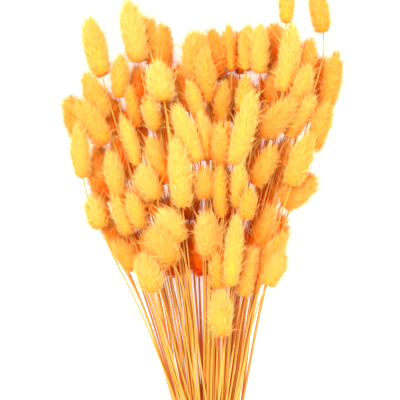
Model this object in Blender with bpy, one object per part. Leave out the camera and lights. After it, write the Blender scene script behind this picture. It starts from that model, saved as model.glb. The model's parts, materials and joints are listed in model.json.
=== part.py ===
"""Dried bunny tail grass: a tied bunch of flowering stems, lying on a surface.

The bunch points along +Y, from its cut ends to its flower heads, and rests on Z = 0. Sizes are in
millimetres from the middle of the tie until the meshes are made, and then in metres.
"""

import math
from collections import namedtuple

import bmesh
import bpy
import numpy as np
from mathutils import Vector

MM = 0.001
SEED = 11

# A flower head: where its neck is across the bunch and along it from the tie, how far it leans from +Y
# towards +X in degrees, its length and its width without the loose hairs
Head = namedtuple("Head", "across along lean length width")

# Heads that the others hide, where they fill what would be open between them: where their necks are across
# the bunch and along it
HIDDEN_PLACES = [
    (48, 364),
    (4, 356),
    (64, 348),
    (80, 340),
    (52, 332),
    (-16, 332),
    (16, 324),
    (28, 316),
    (-76, 312),
    (-28, 304),
    (32, 296),
    (-56, 296),
    (-64, 276),
    (52, 268),
    (-80, 260),
    (8, 252),
    (-16, 244),
    (40, 236),
    (12, 236),
    (-28, 224),
    (4, 212),
    (-12, 204),
    (24, 200),
    (-24, 200),
    (-4, 200),
    (-40, 200),
]
HIDDEN_LENGTH = 46.0
HIDDEN_WIDTH = 16.0
HIDDEN_LEAN = 1.3  # of the direction away from the tie

# Heads that lie at the back of the bunch, on the surface or close to it, from the top down
BACK_HEADS = [
    Head(58, 369, -1, 38, 10),
    Head(25, 362, -2, 42, 10),
    Head(-54, 337, -7, 39, 14),
    Head(49, 337, -13, 28, 11),
    Head(-17, 335, -14, 44, 12),
    Head(81, 324, 16, 54, 14),
    Head(-73, 319, -9, 29, 10),
    Head(46, 316, 4, 27, 10),
    Head(-106, 310, -15, 42, 14),
    Head(4, 308, -3, 40, 12),
    Head(-31, 292, -13, 37, 12),
    Head(54, 282, 21, 36, 11),
    Head(31, 276, 18, 33, 11),
    Head(-84, 271, -12, 42, 12),
    Head(-78, 231, -22, 46, 11),
    Head(-71, 215, -26, 36, 12),
    Head(-54, 210, -22, 34, 13),
    Head(47, 210, 19, 47, 14),
    Head(-35, 206, -24, 30, 12),
    Head(33, 185, 19, 42, 11),
]

# Heads in the middle of the bunch, partly hidden, from the top down
MIDDLE_HEADS = [
    Head(62, 402, -2, 40, 12),
    Head(93, 396, -7, 46, 14),
    Head(-50, 378, -6, 37, 10),
    Head(-46, 370, -1, 44, 12),
    Head(18, 364, -3, 44, 11),
    Head(30, 364, 3, 43, 13),
    Head(-37, 362, 1, 46, 13),
    Head(-86, 360, -13, 56, 16),
    Head(7, 359, -6, 45, 13),
    Head(-9, 356, -2, 47, 19),
    Head(76, 350, 10, 46, 14),
    Head(-72, 342, 3, 41, 13),
    Head(-1, 338, -4, 48, 14),
    Head(94, 334, 10, 51, 14),
    Head(27, 330, 7, 35, 11),
    Head(-84, 325, -23, 46, 15),
    Head(10, 322, 4, 37, 12),
    Head(-57, 318, -11, 39, 11),
    Head(63, 310, 34, 44, 14),
    Head(-83, 305, -32, 48, 16),
    Head(82, 300, 20, 44, 14),
    Head(-1, 291, -10, 45, 14),
    Head(-9, 289, -22, 56, 15),
    Head(36, 272, 25, 41, 14),
    Head(-2, 262, -8, 30, 16),
    Head(59, 257, 48, 40, 18),
    Head(23, 254, 3, 40, 12),
    Head(-42, 249, -30, 35, 14),
    Head(10, 246, -1, 46, 10),
    Head(-64, 232, -20, 40, 14),
    Head(-60, 205, -31, 33, 14),
    Head(42, 194, 25, 48, 14),
    Head(8, 190, -2, 34, 13),
    Head(10, 153, -1, 42, 16),
]

# Heads at the front of the bunch, seen whole, from the top down
FRONT_HEADS = [
    Head(-56, 371, -11, 58, 18),
    Head(41, 361, 1, 46, 14),
    Head(59, 346, 7, 62, 16),
    Head(-36, 339, -13, 38, 19),
    Head(67, 332, 19, 42, 14),
    Head(-6, 322, -16, 41, 12),
    Head(-42, 316, -16, 32, 13),
    Head(43, 311, 43, 42, 17),
    Head(9, 288, 3, 40, 16),
    Head(-57, 287, -18, 48, 12),
    Head(19, 287, 15, 66, 15),
    Head(-101, 278, -3, 48, 14),
    Head(-33, 273, -20, 46, 14),
    Head(65, 271, 21, 51, 15),
    Head(-42, 261, -25, 35, 17),
    Head(-70, 258, -14, 48, 14),
    Head(-21, 254, -7, 61, 16),
    Head(28, 245, 9, 30, 12),
    Head(-86, 238, -17, 32, 16),
    Head(-54, 238, -19, 35, 14),
    Head(-24, 226, -27, 37, 18),
    Head(38, 218, 17, 46, 14),
    Head(2, 214, -8, 43, 18),
    Head(-29, 211, -34, 38, 18),
    Head(46, 193, 27, 34, 14),
    Head(16, 192, 5, 62, 13),
    Head(-44, 188, -17, 36, 17),
    Head(27, 184, 14, 45, 14),
]
FRONT_LAPS = 20.0  # a front head lies over a middle one whose neck is up to this much lower

# Stems: half the side of their square section, low down and at the neck
STEM_HALF = 0.70
NECK_HALF = 0.45
TAPER_FROM = 120.0
CUT_END = -33.0
CUT_UNEVEN = 4.0
NECK_BEND = 35.0  # how far below its head a stem is bent
FAN_END = 45.0  # up to here the rows of the tie only spread, and from here on each stem lies where it falls
FAN_SPREAD = 1.65  # how much further apart the places of a row are there than in the tie
FAN_SHIFT = 1.5  # how far to the right its middle is
FAN_HEIGHT = 10.6  # the middle row's height there
LOW_LEVELS = (85.0, 125.0)
LEVEL_STEP = 46.0
LAST_SPAN = 10.0
STEM_SAMPLE = 5.0
LEFT_SIDE, RIGHT_SIDE = 1, 3  # of a stem's section, by the corner that the side starts from

# The bundle of stems below the heads, on its left and right: where its edge is at the tie, how much further
# out it is for a millimetre along, and the direction of the outermost head from the tie
Side = namedtuple("Side", "edge further outermost")
BUNDLE_LEFT = Side(-8.0, -0.24, -0.34)
BUNDLE_RIGHT = Side(14.5, 0.16, 0.28)
BUNDLE_TOP = 185.0
LANE_SHARE = 0.6  # a stem leaves its lane in the bundle this far on the way to its head, or at the top
LEAVING = 1.4  # the power by which it moves out from there

# Places of the stems in the tie: rows from the bottom up, with how many stand side by side in each, where
# neighbours are grown together in twos
ROW_PLACES = (5, 7, 9, 10, 11, 13, 12, 11, 10, 8, 7, 5)
PLACE_PITCH = 1.85
ROW_PITCH = 1.74
TIE_HALF = 7.0
END_FLARE = 1.25

# Tie: turns of twine side by side, pressed flat where the bunch lies on it
TWINE = 2.2
TURNS = 5
TIE_INSIDE = 12.9
TIE_PRESSED = 0.9
TIE_SIDES = 28
TURN_GROOVE = 0.5
TURN_CREST = 0.25  # of a turn, on each side of its middle

# Flower heads: tufts of hair as relief, larger than life
AROUND = 8
RING_AT = (0.04, 0.26, 0.5, 0.74, 0.94)
RING_RELIEF = (0.0, 0.18, 0.22, 0.2, 0.12)
TUFT_LEAN = 0.35  # of a ring's spacing, towards the tip
SOLID_SHARE = 1.06  # of the width without the loose hairs
WIDEST_AT = 0.45
BASE_BLUNTNESS, TIP_BLUNTNESS = 3.2, 2.6

# Laying the bunch down
GAP = 0.35
BALLS = 10
BALL_FROM, BALL_TO = 0.07, 0.95
PRESS = 0.94  # a head lies on the surface pressed in by this much of its radius
SLOPES = np.linspace(-0.45, 0.45, 46)
TIP_COST = 0.35  # how much a high tip counts against a high neck
FALL_STEPS = 80
FALL = 0.22
STIFFNESS = 0.45
CLEAR_STEPS = 400

DYED_STRAW = {
    "front": (0.90, 0.56, 0.13),
    "middle": (0.86, 0.44, 0.08),
    "back": (0.74, 0.27, 0.04),
}
TWINE_COLOUR = (0.42, 0.29, 0.16)


def clear_scene():
    """Removes every object that the file starts with."""
    for thing in list(bpy.data.objects):
        bpy.data.objects.remove(thing, do_unlink=True)


def material(name, colour, roughness):
    """A plain, non-metallic material."""
    made = bpy.data.materials.new(name)
    made.use_nodes = True
    shader = made.node_tree.nodes["Principled BSDF"]
    shader.inputs["Base Color"].default_value = (*colour, 1.0)
    shader.inputs["Roughness"].default_value = roughness
    shader.inputs["Metallic"].default_value = 0.0
    return made


def head_radius(head, share):
    """The solid's radius at a share of the head's length, an oval that is blunter than an ellipse."""
    towards_base = share < WIDEST_AT
    reach = WIDEST_AT if towards_base else 1.0 - WIDEST_AT
    blunt = BASE_BLUNTNESS if towards_base else TIP_BLUNTNESS
    off = min(abs(share - WIDEST_AT) / reach, 1.0)
    return 0.5 * head.width * SOLID_SHARE * (1.0 - off**blunt) ** (1.0 / blunt)


def lean_of(head):
    """The head's direction in plan, as its share across and along."""
    return math.sin(math.radians(head.lean)), math.cos(math.radians(head.lean))


def hidden_heads():
    """The heads at the hidden places, each pointing away from the tie."""
    heads = []
    for across, along in HIDDEN_PLACES:
        lean = HIDDEN_LEAN * math.degrees(math.atan2(across, along))
        heads.append(Head(across, along, lean, HIDDEN_LENGTH, HIDDEN_WIDTH))
    return heads


def laying_order():
    """The heads from the first laid down to the last, each with the name of its depth."""
    under = BACK_HEADS + hidden_heads()
    back = [(h, "back") for h in sorted(under, key=lambda h: -h.along)]
    over = [(h, "middle", h.along) for h in MIDDLE_HEADS]
    over += [(h, "front", h.along - FRONT_LAPS) for h in FRONT_HEADS]
    over.sort(key=lambda row: -row[2])
    return back + [(head, depth) for head, depth, _ in over]


class Tail:
    """One flowering stem: its head, its place in the tie and, once laid down, its line in space."""

    def __init__(self, head, depth, cut):
        self.head = head
        self.depth = depth
        self.cut = cut
        self.partner = None
        self.pull = 0.0

    def place(self, across, height):
        """Takes a place in the tie and works out the stem's levels and how it runs across the bunch."""
        self.across, self.height = across, height
        self.start = FAN_SPREAD * across + FAN_SHIFT
        levels = list(LOW_LEVELS)
        while levels[-1] + LEVEL_STEP < self.head.along - LAST_SPAN:
            levels.append(levels[-1] + LEVEL_STEP)
        levels = [y for y in levels if y < self.head.along - LAST_SPAN]
        self.y = np.array([FAN_END, *levels, self.head.along])
        self.x = np.array([self.run_at(y) for y in self.y])
        self.half = np.interp(self.y, (TAPER_FROM, self.head.along), (STEM_HALF, NECK_HALF))

    def lane_at(self, y):
        """How far across the bunch the stem's lane is, which keeps the same share of the bundle's width."""
        side = BUNDLE_RIGHT if self.head.across > 0.0 else BUNDLE_LEFT
        outward = min(self.head.across / self.head.along / side.outermost, 1.0)
        return outward * (side.edge + side.further * y)

    def run_at(self, y):
        """How far across the bunch the stem is at y: into its lane, along it, and out of it to its head."""
        along = self.head.along
        leaves = min(BUNDLE_TOP, LANE_SHARE * along)
        joining = max(1.0 - (y - FAN_END) / (leaves - FAN_END), 0.0)
        off_lane = (self.start - self.lane_at(FAN_END)) * joining
        way_out = self.head.across - self.lane_at(along)
        moved_out = way_out * (max(y - leaves, 0.0) / (along - leaves)) ** LEAVING
        sine, cosine = lean_of(self.head)
        slope = self.lane_at(along) - self.lane_at(along - 1.0) + LEAVING * way_out / (along - leaves)
        below = along - y
        bend = (sine / cosine - slope) * below * math.exp(-below / NECK_BEND) * (1.0 - joining)
        return self.lane_at(y) + off_lane + moved_out - bend

    def axis(self):
        """From the neck to the head's tip. The head keeps its length in plan however it slopes."""
        sine, cosine = lean_of(self.head)
        return Vector((sine, cosine, self.slope)) * self.head.length


def set_places(tails):
    """Gives the tails their places in the tie: rows in the order of laying, each row sorted across."""
    rows = len(ROW_PLACES)
    start = 0
    for row, places in enumerate(ROW_PLACES):
        members = sorted(tails[start : start + places], key=lambda t: math.atan2(t.head.across, t.head.along))
        start += places
        height = (row - 0.5 * (rows - 1)) * ROW_PITCH
        shift = 0.25 * PLACE_PITCH * (1 if row % 2 else -1)
        across = [(k - 0.5 * (places - 1)) * PLACE_PITCH + shift for k in range(places)]
        for tail, x in zip(members, across):
            tail.place(x, height)
        for left, right in zip(members[::2], members[1::2]):
            left.partner = right
            left.pull = 0.5 * PLACE_PITCH - STEM_HALF
            right.pull = -left.pull


class Pile:
    """What has been laid down so far: round obstacles, and square stem sections."""

    def __init__(self):
        self.balls = np.empty((0, 4))
        self.stems = np.empty((0, 4))

    def height_for_ball(self, x, y, radius):
        """The lowest centre height at which a ball at x, y clears everything laid down."""
        height = radius * PRESS
        for rows, spread in ((self.balls, 1.0), (self.stems, math.sqrt(2.0))):
            if not len(rows):
                continue
            reach = rows[:, 3] * spread + radius + GAP
            free = reach**2 - (rows[:, 0] - x) ** 2 - (rows[:, 1] - y) ** 2
            near = free > 0.0
            if near.any():
                height = max(height, (rows[near, 2] + np.sqrt(free[near])).max())
        return height

    def height_for_stem(self, x, y, half):
        """The lowest centre height at which a stem's square section at x, y clears everything."""
        height = half
        if len(self.balls):
            reach = self.balls[:, 3] + half * math.sqrt(2.0) + GAP
            free = reach**2 - (self.balls[:, 0] - x) ** 2 - (self.balls[:, 1] - y) ** 2
            near = free > 0.0
            if near.any():
                height = max(height, (self.balls[near, 2] + np.sqrt(free[near])).max())
        if len(self.stems):
            reach = self.stems[:, 3] + half + GAP
            near = (np.abs(self.stems[:, 0] - x) < reach) & (np.abs(self.stems[:, 1] - y) < 0.5 * STEM_SAMPLE)
            if near.any():
                height = max(height, (self.stems[near, 2] + reach[near]).max())
        return height

    def lay_head(self, tail):
        """Lets a head down on the pile, level or tilted, whichever lies lower."""
        head = tail.head
        sine, cosine = lean_of(head)
        shares = np.linspace(BALL_FROM, BALL_TO, BALLS)
        radii = np.array([head_radius(head, s) for s in shares])
        along = shares * head.length
        xs = head.across + sine * along
        ys = head.along + cosine * along
        floor = np.array([self.height_for_ball(x, y, r) for x, y, r in zip(xs, ys, radii)])
        best = None
        for slope in SLOPES:
            neck = (floor - slope * along).max()
            cost = neck + TIP_COST * (neck + slope * head.length)
            if best is None or cost < best[0]:
                best = (cost, slope, neck)
        _, tail.slope, tail.neck = best
        tail.balls = np.column_stack((xs, ys, tail.neck + tail.slope * along, radii))

    def lay_stem(self, tail):
        """Lets a stem sag between the fan of the tie and its neck, over what lies below it."""
        y, x = tail.y, tail.x
        ys = np.arange(FAN_END, tail.head.along, STEM_SAMPLE)
        xs = np.interp(ys, y, x)
        halves = np.interp(ys, y, tail.half)
        floor = np.array([self.height_for_stem(a, b, h) for a, b, h in zip(xs, ys, halves)])
        span = np.clip(np.searchsorted(y, ys, side="right") - 1, 0, len(y) - 2)
        share = (ys - y[span]) / (y[span + 1] - y[span])
        z = np.interp(y, (y[0], y[-1]), (tail.height + FAN_HEIGHT, tail.neck))
        ends = z[0], z[-1]
        beyond = tail.neck + tail.slope * LEVEL_STEP

        def lift(z):
            """Raises the two levels beside each place where the stem would cut into the pile."""
            short = floor - ((1.0 - share) * z[span] + share * z[span + 1])
            for k in np.nonzero(short > 0.0)[0]:
                a, b, w = span[k], span[k] + 1, share[k]
                deficit = floor[k] - ((1.0 - w) * z[a] + w * z[b])
                if deficit <= 0.0:
                    continue
                low = 1.0 - w if a > 0 else 0.0
                high = w if b < len(z) - 1 else 0.0
                scale = low**2 + high**2
                if scale > 1e-6:
                    z[a] += deficit * low / scale
                    z[b] += deficit * high / scale
            return short.max()

        for _ in range(FALL_STEPS):
            padded = np.append(z, beyond)
            mean = 0.5 * (padded[:-2] + padded[2:])
            z[1:] += STIFFNESS * (mean - z[1:]) - FALL
            z[0], z[-1] = ends
            lift(z)
        for _ in range(CLEAR_STEPS):
            if lift(z) < 1e-3:
                break
        tail.z = z
        tail.samples = np.column_stack((xs, ys, (1.0 - share) * z[span] + share * z[span + 1], halves))

    def add(self, tail):
        """Makes a laid tail part of the pile."""
        self.balls = np.vstack((self.balls, tail.balls))
        self.stems = np.vstack((self.stems, tail.samples))


def ring_loft(mesh, lower, upper, open_side=None):
    """Joins two rings of the same number of corners with four-sided faces, but for one open side."""
    count = len(lower)
    for k in range(count):
        n = (k + 1) % count
        if k != open_side:
            mesh.faces.new((lower[k], upper[k], upper[n], lower[n]))


def stem_ring(mesh, x, y, z, half, beside=None):
    """A stem's square section, in a plane across the bunch, which may share the side of a ring to its left."""
    if beside:
        left_top, left_bottom = beside[0], beside[3]
    else:
        left_top = mesh.verts.new((x - half, y, z + half))
        left_bottom = mesh.verts.new((x - half, y, z - half))
    right_bottom = mesh.verts.new((x + half, y, z - half))
    right_top = mesh.verts.new((x + half, y, z + half))
    return [right_top, left_top, left_bottom, right_bottom]


def head_rings(mesh, tail):
    """The rings of a flower head, with tufts that stand out and lean to the tip, and its tip."""
    head = tail.head
    axis = tail.axis()
    side = axis.cross(Vector((0, 0, 1))).normalized()
    up = side.cross(axis).normalized()
    neck = Vector((tail.x[-1], head.along, tail.neck))
    rings = []
    for j, (share, relief) in enumerate(zip(RING_AT, RING_RELIEF)):
        spacing = RING_AT[min(j + 1, len(RING_AT) - 1)] - share
        ring = []
        for k in range(AROUND):
            raised = (j + k) % 2 == 0
            at = share + (TUFT_LEAN * spacing if raised and relief else 0.0)
            radius = head_radius(head, share) * (1.0 if raised else 1.0 - relief)
            turn = 2.0 * math.pi * k / AROUND
            out = side * math.cos(turn) + up * math.sin(turn)
            place = neck + axis * at + out * radius
            place.z = max(place.z, 0.0)
            ring.append(mesh.verts.new(place))
        rings.append(ring)
    tip = mesh.verts.new(neck + axis)
    return rings, tip


def add_tail(mesh, tail, tie_height, beside=(None, None)):
    """Adds a tail in millimetres from the tie, and returns its two rings in the tie.

    It is closed, but for the side where its partner is grown to those rings, or it to its partner's.
    """
    low, held = tail.height * END_FLARE + tie_height, tail.height + tie_height
    rings = [stem_ring(mesh, tail.across * END_FLARE, tail.cut, low, STEM_HALF)]
    for y, ring in zip((-TIE_HALF, TIE_HALF), beside):
        rings.append(stem_ring(mesh, tail.across + tail.pull, y, held, STEM_HALF, ring))
    for x, y, z, half in zip(tail.x, tail.y, tail.z, tail.half):
        rings.append(stem_ring(mesh, x, y, z, half))
    grown = RIGHT_SIDE if tail.partner else LEFT_SIDE if beside[0] else None
    for lower, upper in zip(rings, rings[1:]):
        ring_loft(mesh, lower, upper, grown if lower is rings[1] else None)
    mesh.faces.new(rings[0])
    heads, tip = head_rings(mesh, tail)
    neck, base = rings[-1], heads[0]
    for c in range(4):
        a, b, d = base[2 * c], base[2 * c + 1], base[(2 * c + 2) % AROUND]
        mesh.faces.new((neck[c], a, b))
        mesh.faces.new((neck[c], b, d))
        mesh.faces.new((neck[c], d, neck[(c + 1) % 4]))
    for lower, upper in zip(heads, heads[1:]):
        ring_loft(mesh, lower, upper)
    for k in range(AROUND):
        mesh.faces.new((heads[-1][k], tip, heads[-1][(k + 1) % AROUND]))
    return rings[1:3]


def tail_mesh(tail, tie_height):
    """A tail and the partner that is grown to it in the tie, as one closed mesh."""
    mesh = bmesh.new()
    rings = add_tail(mesh, tail, tie_height)
    if tail.partner:
        add_tail(mesh, tail.partner, tie_height, rings)
    bmesh.ops.recalc_face_normals(mesh, faces=mesh.faces)
    bmesh.ops.triangulate(mesh, faces=mesh.faces)
    return mesh


def as_object(name, mesh, dressed, parent):
    """Puts a mesh in millimetres into the scene as an object in metres."""
    bmesh.ops.scale(mesh, vec=(MM, MM, MM), verts=mesh.verts)
    data = bpy.data.meshes.new(name)
    mesh.to_mesh(data)
    mesh.free()
    data.materials.append(dressed)
    made = bpy.data.objects.new(name, data)
    bpy.context.collection.objects.link(made)
    made.parent = parent
    return made


def tie_mesh(tie_height):
    """The twine round the stems: a ring with a rounded crest for each turn, pressed flat underneath."""
    outside = TIE_INSIDE + TWINE
    half = 0.5 * TURNS * TWINE
    profile = [(TIE_INSIDE, half), (TIE_INSIDE, -half)]
    for turn in range(TURNS):
        middle = -half + (turn + 0.5) * TWINE
        profile.append((outside - TURN_GROOVE, middle - 0.5 * TWINE))
        profile.append((outside, middle - TURN_CREST * TWINE))
        profile.append((outside, middle + TURN_CREST * TWINE))
    profile.append((outside - TURN_GROOVE, half))
    mesh = bmesh.new()
    corners = [mesh.verts.new((0.0, y, -r)) for r, y in profile]
    edges = [mesh.edges.new((a, b)) for a, b in zip(corners, corners[1:] + corners[:1])]
    bmesh.ops.spin(
        mesh,
        geom=corners + edges,
        cent=(0, 0, 0),
        axis=(0, 1, 0),
        angle=2.0 * math.pi,
        steps=TIE_SIDES,
        use_merge=True,
    )
    for vertex in mesh.verts:
        vertex.co.z = max(vertex.co.z + tie_height, 0.0)
    bmesh.ops.recalc_face_normals(mesh, faces=mesh.faces)
    bmesh.ops.triangulate(mesh, faces=mesh.faces)
    return mesh


def lay_bunch():
    """Works out every tail's line, in the order in which they are laid down."""
    draw = np.random.RandomState(SEED)
    tails = []
    for head, depth in laying_order():
        tails.append(Tail(head, depth, CUT_END - CUT_UNEVEN * draw.uniform()))
    set_places(tails)
    pile = Pile()
    for tail in tails:
        pile.lay_head(tail)
        pile.lay_stem(tail)
        pile.add(tail)
    return tails


def main():
    """Builds the bunch, with the middle of its box's underside at the origin."""
    clear_scene()
    tie_height = TIE_INSIDE + TWINE - TIE_PRESSED
    tails = lay_bunch()
    straws = {depth: material("dyed_straw_" + depth, c, 0.8) for depth, c in DYED_STRAW.items()}
    bunch = bpy.data.objects.new("bunch", None)
    bpy.context.collection.objects.link(bunch)
    joined = {id(tail.partner) for tail in tails if tail.partner}
    singles, pairs = 0, 0
    for tail in tails:
        if id(tail) in joined:
            continue
        if tail.partner:
            pairs += 1
            name = f"bunny_tail_pair_{pairs:02d}"
        else:
            singles += 1
            name = f"bunny_tail_{singles:02d}"
        as_object(name, tail_mesh(tail, tie_height), straws[tail.depth], bunch)
    as_object("twine_tie", tie_mesh(tie_height), material("jute_twine", TWINE_COLOUR, 0.9), bunch)
    places = [v.co for o in bpy.data.objects if o.type == "MESH" for v in o.data.vertices]
    for axis in (0, 1):
        values = [p[axis] for p in places]
        bunch.location[axis] = -0.5 * (min(values) + max(values))


main()
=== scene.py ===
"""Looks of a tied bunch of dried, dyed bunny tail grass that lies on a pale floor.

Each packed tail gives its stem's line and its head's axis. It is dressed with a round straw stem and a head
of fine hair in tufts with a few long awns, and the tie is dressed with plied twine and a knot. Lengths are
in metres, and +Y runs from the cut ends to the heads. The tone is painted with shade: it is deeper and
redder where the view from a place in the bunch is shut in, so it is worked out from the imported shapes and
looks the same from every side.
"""

import json
import logging
import math
from dataclasses import dataclass, field
from enum import Enum

import bmesh
import bpy
import numpy as np
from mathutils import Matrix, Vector
from mathutils.bvhtree import BVHTree

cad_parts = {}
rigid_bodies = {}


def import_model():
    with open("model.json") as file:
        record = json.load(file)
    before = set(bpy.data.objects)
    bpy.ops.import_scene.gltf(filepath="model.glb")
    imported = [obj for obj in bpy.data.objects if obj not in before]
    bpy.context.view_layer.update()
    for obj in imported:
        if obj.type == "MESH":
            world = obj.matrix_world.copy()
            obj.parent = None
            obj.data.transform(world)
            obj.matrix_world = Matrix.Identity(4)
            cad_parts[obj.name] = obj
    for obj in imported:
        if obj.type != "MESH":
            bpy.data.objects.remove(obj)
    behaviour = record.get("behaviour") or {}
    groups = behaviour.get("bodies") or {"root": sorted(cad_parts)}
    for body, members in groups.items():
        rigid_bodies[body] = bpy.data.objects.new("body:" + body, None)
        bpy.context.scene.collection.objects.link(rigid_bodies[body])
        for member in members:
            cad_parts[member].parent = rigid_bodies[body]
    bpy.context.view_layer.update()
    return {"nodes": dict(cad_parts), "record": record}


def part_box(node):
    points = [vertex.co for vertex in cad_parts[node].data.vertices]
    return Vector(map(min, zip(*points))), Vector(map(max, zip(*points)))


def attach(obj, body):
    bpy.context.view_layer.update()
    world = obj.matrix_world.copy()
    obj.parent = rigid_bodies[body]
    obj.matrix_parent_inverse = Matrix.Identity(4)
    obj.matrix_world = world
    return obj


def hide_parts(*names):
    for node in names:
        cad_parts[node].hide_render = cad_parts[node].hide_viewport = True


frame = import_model()

MM = 0.001
SEED = 7
BODY = "root"
LOG = logging.getLogger("bunny_tails")

# The bake map: across it goes the tone, and up it first the straw's band and then the hair from root to tip
BAKE_MAP = "OFBake"
STRAW_BAND = (0.02, 0.24)
STRAW_BAND_GAP = 0.01
HAIR_ROOT_V = 0.30
HAIR_TIP_V = 0.97
TONE_LOW, TONE_HIGH = 0.10, 0.90

HALF_OPEN = 0.5  # the openness at which the painted shade leaves a place at its usual tone
GOLDEN_ANGLE = math.pi * (3 - math.sqrt(5))
NEEDLE_SIDES = 3
NEARLY_UPRIGHT = 0.9  # the upward part of a direction that is too steep to be crossed with straight up


class Surface(Enum):
    """The material slots of a tail's mesh, in order."""

    STRAW = 0
    HAIR = 1


def linear(colour: str) -> tuple[float, float, float, float]:
    """Turns an sRGB hex colour into linear red, green, blue and alpha, by the standard sRGB curve.

    Args:
        colour: the colour as "#rrggbb".

    Returns:
        The linear colour, opaque.
    """
    parts = [int(colour[k : k + 2], 16) / 255 for k in (1, 3, 5)]
    red, green, blue = (c / 12.92 if c <= 0.04045 else ((c + 0.055) / 1.055) ** 2.4 for c in parts)
    return red, green, blue, 1.0


def add_node(
    tree: bpy.types.NodeTree,
    kind: str,
    settings: dict[str, object] | None = None,
    inputs: dict[int | str, object] | None = None,
) -> bpy.types.Node:
    """Adds a node with its settings and links.

    Args:
        tree: the tree that the node goes into.
        kind: Blender's name of the node's type.
        settings: the node's own properties, by name.
        inputs: a value, or a socket to link from, for each input by its name or number.

    Returns:
        The new node.
    """
    node = tree.nodes.new(kind)
    for name, value in (settings or {}).items():
        setattr(node, name, value)
    for key, value in (inputs or {}).items():
        if isinstance(value, bpy.types.NodeSocket):
            tree.links.new(value, node.inputs[key])
        else:
            node.inputs[key].default_value = value
    return node


def set_ramp(node: bpy.types.Node, stops: list[tuple[float, str]]) -> None:
    """Gives a colour ramp its stops.

    Args:
        node: the colour ramp node.
        stops: each stop's place from 0 to 1 and its sRGB hex colour, in order.
    """
    elements = node.color_ramp.elements
    while len(elements) < len(stops):
        elements.new(0.5)
    for element, (place, colour) in zip(elements, stops):
        element.position = place
        element.color = linear(colour)


def start_material(name: str, roughness: float) -> tuple[bpy.types.NodeTree, bpy.types.Node]:
    """Makes a material with a shader of constant roughness.

    Args:
        name: the material's name.
        roughness: the shader's roughness.

    Returns:
        The material's node tree and its shader.
    """
    made = bpy.data.materials.new(name)
    made.use_nodes = True
    shader = made.node_tree.nodes["Principled BSDF"]
    shader.inputs["Roughness"].default_value = roughness
    return made.node_tree, shader


@dataclass(frozen=True)
class DyedHair:
    """Hair of dried bunny tail, bleached and dyed: matt and velvety, with painted shade at its roots that
    fades to its pale ends.
    """

    name: str
    speck: str
    deep: str
    body: str
    pale: str
    # painted shade at the roots, multiplied into the tone
    root_shade: str
    roughness: float = 0.8
    gloss: float = 0.05  # of a usual surface's, because most light goes into the hair
    sheen: float = 0.25
    sheen_roughness: float = 0.5
    sheen_tint: str = "#FFA020"
    tone_stops: tuple[float, float, float, float] = (0.0, 0.06, 0.45, 0.95)
    shaded_share: float = 0.65  # of a hair's length from its root, over which the painted shade at the root fades

    def material(self) -> bpy.types.Material:
        """Makes the hair's material, whose colour follows the bake map.

        Returns:
            The material.
        """
        tree, shader = start_material(self.name, self.roughness)
        shader.inputs["Specular IOR Level"].default_value = self.gloss
        shader.inputs["Sheen Weight"].default_value = self.sheen
        shader.inputs["Sheen Roughness"].default_value = self.sheen_roughness
        shader.inputs["Sheen Tint"].default_value = linear(self.sheen_tint)
        place = add_node(tree, "ShaderNodeUVMap", {"uv_map": BAKE_MAP})
        split = add_node(tree, "ShaderNodeSeparateXYZ", inputs={0: place.outputs["UV"]})
        tone = add_node(tree, "ShaderNodeValToRGB", inputs={0: split.outputs["X"]})
        set_ramp(tone, list(zip(self.tone_stops, (self.speck, self.deep, self.body, self.pale))))
        shade_end = HAIR_ROOT_V + self.shaded_share * (HAIR_TIP_V - HAIR_ROOT_V)
        up = add_node(
            tree,
            "ShaderNodeMapRange",
            {"interpolation_type": "SMOOTHSTEP"},
            {0: split.outputs["Y"], 1: HAIR_ROOT_V, 2: shade_end},
        )
        # painted shade: the root's colour multiplies the tone and fades to white towards the tip
        shade = add_node(tree, "ShaderNodeValToRGB", inputs={0: up.outputs[0]})
        set_ramp(shade, [(0.0, self.root_shade), (1.0, "#FFFFFF")])
        colour = add_node(
            tree,
            "ShaderNodeMix",
            {"data_type": "RGBA", "blend_type": "MULTIPLY"},
            {0: 1.0, 6: tone.outputs["Color"], 7: shade.outputs["Color"]},
        )
        tree.links.new(colour.outputs[2], shader.inputs["Base Color"])
        return bpy.data.materials[self.name]


@dataclass(frozen=True)
class DyedStraw:
    """Dried grass stem, dyed: smooth and slightly glossy, with fine ribs along it and uneven colour."""

    name: str
    dark: str
    body: str
    light: str
    roughness: float = 0.5
    rib_width: float = 0.35 * MM  # coarser than the real ribs, so that they show
    rib_length: float = 25 * MM
    patchiness: float = 0.25
    rib_depth: float = 0.05 * MM

    def material(self) -> bpy.types.Material:
        """Makes the straw's material, from the stem's tone, which carries painted shade, and a pattern drawn
        out along the stems.

        Returns:
            The material.
        """
        tree, shader = start_material(self.name, self.roughness)
        place = add_node(tree, "ShaderNodeTexCoord")
        scale = (1 / self.rib_width, 1 / self.rib_length, 1 / self.rib_width)
        drawn = add_node(tree, "ShaderNodeMapping", inputs={0: place.outputs["Object"], 3: scale})
        ribs = add_node(
            tree, "ShaderNodeTexNoise", inputs={0: drawn.outputs[0], "Scale": 1.0, "Detail": 2.0}
        )
        # the tone attribute carries painted shade besides the stem's own random tone
        own = add_node(tree, "ShaderNodeAttribute", {"attribute_name": "tone"})
        spread = add_node(
            tree, "ShaderNodeMapRange", inputs={0: ribs.outputs[0], 3: -self.patchiness, 4: self.patchiness}
        )
        tone = add_node(
            tree, "ShaderNodeMath", {"operation": "ADD"}, {0: own.outputs["Fac"], 1: spread.outputs[0]}
        )
        colour = add_node(tree, "ShaderNodeValToRGB", inputs={0: tone.outputs[0]})
        set_ramp(colour, [(0.0, self.dark), (0.5, self.body), (1.0, self.light)])
        bump = add_node(
            tree, "ShaderNodeBump", inputs={"Distance": self.rib_depth, "Height": ribs.outputs[0]}
        )
        tree.links.new(colour.outputs[0], shader.inputs["Base Color"])
        tree.links.new(bump.outputs[0], shader.inputs["Normal"])
        return bpy.data.materials[self.name]


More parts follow.
